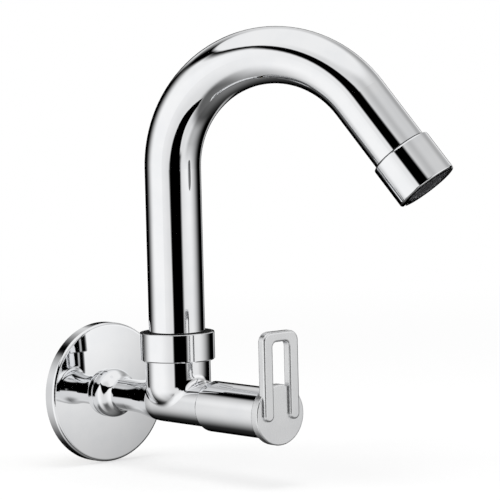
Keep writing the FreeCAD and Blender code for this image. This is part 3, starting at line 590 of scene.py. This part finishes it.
def stage_finish(name, build):
    """A finish of the studio: `build` takes the node tree and gives the shader's outlet."""
    material = bpy.data.materials.new(name)
    material.use_nodes = True
    tree = material.node_tree
    tree.nodes.clear()
    out = tree.nodes.new("ShaderNodeOutputMaterial")
    tree.links.new(build(tree).end, out.inputs["Surface"])
    return material


def floor_shader(tree):
    """White paper: near the tap partly lit by the lamps, so that it keeps a shadow, and plain white further
    out."""
    start = Wire(tree)
    span = start.node("TexCoord", {}, {}, "Object").length()
    paper = start.node("BsdfDiffuse", {}, {"Color": PAPER})
    white = start.node("Emission", {}, {"Color": WHITE, "Strength": 1.0})
    share = seen(tree) * (FLOOR_GLOW + (1 - FLOOR_GLOW) * span.step(*SHADOW_REACH))
    return start.node("MixShader", {}, {0: share, 1: paper, 2: white})


def floor_disc():
    """A flat disc: each spoke runs from the middle to the rim, and the spokes go once round."""
    spokes = np.linspace(0, 2 * np.pi, FLOOR_SPOKES)
    around, out = np.meshgrid(spokes, np.linspace(0, FLOOR_REACH, FLOOR_RINGS), indexing="ij")
    return np.stack([out * np.cos(around), out * np.sin(around), np.full_like(out, FLOOR_LEVEL)], -1)


floor = surface("floor", floor_disc())
floor.data.materials.append(stage_finish("white_paper", floor_shader))
floor.visible_glossy = False


# The light tent is white cloth hung all round the tap, dark where it has gaps; only polished metal shows it.
# Its tones go by turn, the bearing from the camera's place, positive to the right, and by height above
# level, in degrees from the tap's middle. Numbers in a group are where soft edges start and end.
TENT_REACH = 2.5
TENT_SEAMS = 97
TENT_HOOPS = 49
TENT_MIDDLE = Vector((0, -75 * MM, 90 * MM))
BLACK = (0, 0, 0, 1)

PANEL_LEFT_START = (-134, -146)
PANEL_LEFT_FULL = (-87, -84)
PANEL_LOW_DROPS = (3, 20)
PANEL_LEAN = 6
PANEL_LEAN_HEIGHTS = (0, 15)
PANEL_RIGHT = (68, 125)
ROOF_EDGE = ((-175, 4), (-125, 44), (-60, 44), (20, 4))
ROOF_EDGE_SOFT = (-7, 5)
ROOF_RISE = 8
ROOF_RISE_RIGHT = (100, 135)
ROOF_RISE_BACK = (162, 174)
ROOF_RISE_END = (-172, -156)


def ramp(value, low, high, start, end):
    """Goes straight from start to end as the value goes from low to high, and stays there."""
    feeds = {"Value": value, "From Min": low, "From Max": high, "To Min": start, "To Max": end}
    return value.node("MapRange", {}, feeds)


def edge_line(turn, corners):
    """The height of an edge that runs straight from corner to corner, each given as a turn and a height."""
    level = corners[0][1]
    for (low, start), (high, end) in zip(corners, corners[1:]):
        level = level + ramp(turn, low, high, 0, end - start)
    return level


def band(value, low, low_full, high_full, high):
    """1 between the two full values, and 0 outside the other two, with smooth flanks."""
    return value.step(low, low_full) * value.fade(high_full, high)


def tent_walls(turn, height):
    """Two side panels, white before the tap and dark behind it, of which the left one leans and reaches
    further back low down; and over them a white roof, whose edge hangs lower on the right."""
    low_down = (0 - height).step(*PANEL_LOW_DROPS)
    leaning = turn + PANEL_LEAN * height.step(*PANEL_LEAN_HEIGHTS)
    left = leaning.step(ramp(low_down, 0, 1, *PANEL_LEFT_START), ramp(low_down, 0, 1, *PANEL_LEFT_FULL))
    panels = left * turn.fade(*PANEL_RIGHT)
    rise_behind = turn.step(*ROOF_RISE_RIGHT) + turn.step(*ROOF_RISE_BACK) + 2 * turn.fade(*ROOF_RISE_END)
    roof_edge = edge_line(turn, ROOF_EDGE) + ROOF_RISE * rise_behind
    return panels + (1 - panels) * (height - roof_edge).step(*ROOF_EDGE_SOFT)


SLOT_TURNS = (-15, -9, 27, 38)
SLOT_HEIGHTS = (-17, -11, 26, 32)
WEDGE_TURNS = (-172, -128, -4, 6)
WEDGE_LOW = ((-125, 30), (-95, 40), (-50, 30), (-13, -5))
WEDGE_LOW_SOFT = (-4, 4)
WEDGE_HIGH = ((-100, 46), (-50, 39), (-4, 30))
WEDGE_HIGH_SOFT = (-2, 1)


def tent_gaps(turn, height):
    """What the gaps leave of the white: an upright slot before the camera, and a wedge that runs from it to
    the left, between a low and a high line, where the panel doesn't reach the roof."""
    slot = band(turn, *SLOT_TURNS) * band(height, *SLOT_HEIGHTS)
    above = (height - edge_line(turn, WEDGE_LOW)).step(*WEDGE_LOW_SOFT)
    under = (height - edge_line(turn, WEDGE_HIGH)).fade(*WEDGE_HIGH_SOFT)
    wedge = above * under * band(turn, *WEDGE_TURNS)
    return (1 - slot) * (1 - wedge)


ROOF_SHADE = 0.07
ROOF_SHADE_HEIGHTS = (18, 32)
ROOF_RIGHT_SHADE = 0.27
ROOF_RIGHT_SIDE = (0, 0.45)
ROOF_RIGHT_TOP = (44, 58)
GROUND_HEIGHTS = (-95, -26)
GROUND_FRONT_SHADE = 0.85
GROUND_FRONT_TURNS = (-50, -5)
GROUND_FRONT_DROPS = (36, 50)
RIGHT_FALL_TURNS = (40, 60)
RIGHT_FALL_HEIGHTS = (-25, -2)
RIGHT_FALL_LEAST = 0.5
REAR_SHADE = 0.25
REAR_DEPTH = (0.1, 0.7)
REAR_TOP = (35, 55)
REAR_RIGHT_SHADE = 0.2
REAR_RIGHT_SIDE = (0.1, 0.5)
FRONT_SHADE = 0.2
FRONT_TURNS = (-58, -15, 32, 62)
FRONT_TOP = (40, 56)


def tent_shades(turn, height, across, towards):
    """How light the white is: a little grey on the roof, more on its right, on the ground, most of all before
    the camera, low on the right, behind, and beside the slot. Across and towards are shares of the way to the
    right and to the camera's place."""
    right_share = across.step(*ROOF_RIGHT_SIDE) * height.fade(*ROOF_RIGHT_TOP)
    roof = 1 - height.step(*ROOF_SHADE_HEIGHTS) * (ROOF_SHADE + ROOF_RIGHT_SHADE * right_share)
    front_ground = turn.step(*GROUND_FRONT_TURNS) * (0 - height).step(*GROUND_FRONT_DROPS)
    ground = height.step(*GROUND_HEIGHTS) * (1 - GROUND_FRONT_SHADE * front_ground)
    right_tone = ramp(height, *RIGHT_FALL_HEIGHTS, RIGHT_FALL_LEAST, 1)
    right_fall = 1 - turn.step(*RIGHT_FALL_TURNS) * (1 - right_tone)
    rear_shade = REAR_SHADE + REAR_RIGHT_SHADE * across.step(*REAR_RIGHT_SIDE)
    rear = 1 - rear_shade * (0 - towards).step(*REAR_DEPTH) * height.fade(*REAR_TOP)
    front = 1 - FRONT_SHADE * band(turn, *FRONT_TURNS) * height.fade(*FRONT_TOP)
    return roof * ground * right_fall * rear * front


GLOW_LOW = 0.05
GLOW_LOW_DROPS = (30, 60)
GLOW_UNDER = 0.16
GLOW_UNDER_DROPS = (50, 88)
STRIP_TONE = 0.5
STRIP_TURNS = (145, 152, 157, 164)
STRIP_HEIGHTS = (-50, -25, 10, 30)


def tent_shader(tree):
    """Cloth that glows in its tone: the walls less the gaps, times the shades, plus a weak glow from the
    ground and one light strip in the dark rear, on the right."""
    start = Wire(tree)
    place = start.node("TexCoord", {}, {}, "Object")
    offset = place.node("VectorMath", {"operation": "SUBTRACT"}, {0: place, 1: TENT_MIDDLE})
    way = offset.node("VectorMath", {"operation": "NORMALIZE"}, {0: offset})
    across = way.axis("X") * math.cos(bearing) + way.axis("Y") * math.sin(bearing)
    towards = way.axis("X") * math.sin(bearing) - way.axis("Y") * math.cos(bearing)
    turn = across.maths("ARCTAN2", across, towards) * math.degrees(1)
    height = across.maths("ARCSINE", way.axis("Z")) * math.degrees(1)
    drop = 0 - height
    glow = GLOW_LOW * drop.step(*GLOW_LOW_DROPS) + GLOW_UNDER * drop.step(*GLOW_UNDER_DROPS)
    strip = STRIP_TONE * band(turn, *STRIP_TURNS) * band(height, *STRIP_HEIGHTS)
    cloth = tent_walls(turn, height) * tent_gaps(turn, height) * tent_shades(turn, height, across, towards)
    tone = glow + strip + cloth
    return start.node("Emission", {}, {"Color": tone.tint(BLACK, WHITE), "Strength": 1.0})


def tent_dome():
    """A whole ball about the tap's middle: a half circle from the lowest point to the highest, carried
    once round."""
    turns = np.linspace(0, 2 * np.pi, TENT_SEAMS)
    rises = np.linspace(-np.pi / 2, np.pi / 2, TENT_HOOPS)
    return np.array(TENT_MIDDLE) + TENT_REACH * outward(*np.meshgrid(turns, rises, indexing="ij"))


def reflected_only(thing, material):
    """Gives a studio piece its material and makes it show in polished metal and nowhere else."""
    thing.data.materials.append(material)
    material.cycles.emission_sampling = "NONE"
    thing.visible_camera = False
    thing.visible_diffuse = False
    thing.visible_shadow = False


reflected_only(surface("light_tent", tent_dome()), stage_finish("tent_cloth", tent_shader))


# The black flag is a curved cloth in front of the spout's bend and below it; only polished metal shows it.
# It carries the tent's slot on into the bend, so that the dark stripe on the tube narrows to a tip there.
FLAG_REACH = 300 * MM
FLAG_MIDDLE = Vector((-6 * MM, -77 * MM, 136 * MM))
FLAG_COLUMNS = 9
FLAG_ROWS = 17
FLAG_DROPS = (8, 43)
FLAG_LEFT = ((8, 20, 43), (-12, -12, 1))
FLAG_RIGHT = ((8, 30, 43), (32, 17, 12))


def flag_patch():
    """A patch of a ball about the bend's face. Down it goes the drop below level, and across it the turn from
    a left to a right edge, each of which runs straight between drops and turns in degrees."""
    shares = np.linspace(0, 1, FLAG_COLUMNS)
    share, drop = np.meshgrid(shares, np.linspace(*FLAG_DROPS, FLAG_ROWS), indexing="ij")
    left_turn = np.interp(drop, *FLAG_LEFT)
    right_turn = np.interp(drop, *FLAG_RIGHT)
    swing = VIEW_AZIMUTH + left_turn + share * (right_turn - left_turn)
    return np.array(FLAG_MIDDLE) + FLAG_REACH * outward(np.radians(swing), np.radians(-drop))


def flag_shader(tree):
    """Matt black cloth, which sends nothing back."""
    return Wire(tree).node("Emission", {}, {"Color": BLACK, "Strength": 1.0})


reflected_only(surface("black_flag", flag_patch()), stage_finish("flag_cloth", flag_shader))


# Three soft square lamps, left, right and above, light the matt surfaces at a plain level.
# Neither the camera nor polished metal sees them.
LAMP_AIM = Vector((0, -75 * MM, 80 * MM))


def lamp(name, azimuth, height, distance, width, power):
    """A soft square lamp that faces the tap from an azimuth and a height in degrees."""
    light = bpy.data.lights.new(name, "AREA")
    light.size = width
    light.energy = power
    holder = bpy.data.objects.new(name, light)
    way = Vector(outward(math.radians(azimuth), math.radians(height)))
    holder.location = LAMP_AIM + way * distance
    holder.rotation_euler = way.to_track_quat("Z", "Y").to_euler()
    holder.visible_camera = False
    holder.visible_glossy = False
    scene.collection.objects.link(holder)


lamp("left_softbox", azimuth=VIEW_AZIMUTH - 65, height=18, distance=1.3, width=0.9, power=9)
lamp("right_softbox", azimuth=VIEW_AZIMUTH + 85, height=25, distance=1.5, width=0.8, power=6)
lamp("top_softbox", azimuth=VIEW_AZIMUTH, height=80, distance=1.4, width=1.0, power=9)


# The surroundings are a plain white studio: pure white to the camera and to glossy surfaces,
# and a weaker, even light on matt ones.
SKY_LIGHT = 0.6

world = bpy.data.worlds.new("white_studio")
scene.world = world
world.use_nodes = True
sky_tree = world.node_tree
sky_tree.nodes.clear()
sky = Wire(sky_tree)
shown = sky.node("Background", {}, {"Color": WHITE, "Strength": 1.0})
lit = sky.node("Background", {}, {"Color": WHITE, "Strength": SKY_LIGHT})
sky_mix = sky.node("MixShader", {}, {0: seen(sky_tree), 1: lit, 2: shown})
sky_end = sky_tree.nodes.new("ShaderNodeOutputWorld")
sky_tree.links.new(sky_mix.end, sky_end.inputs["Surface"])
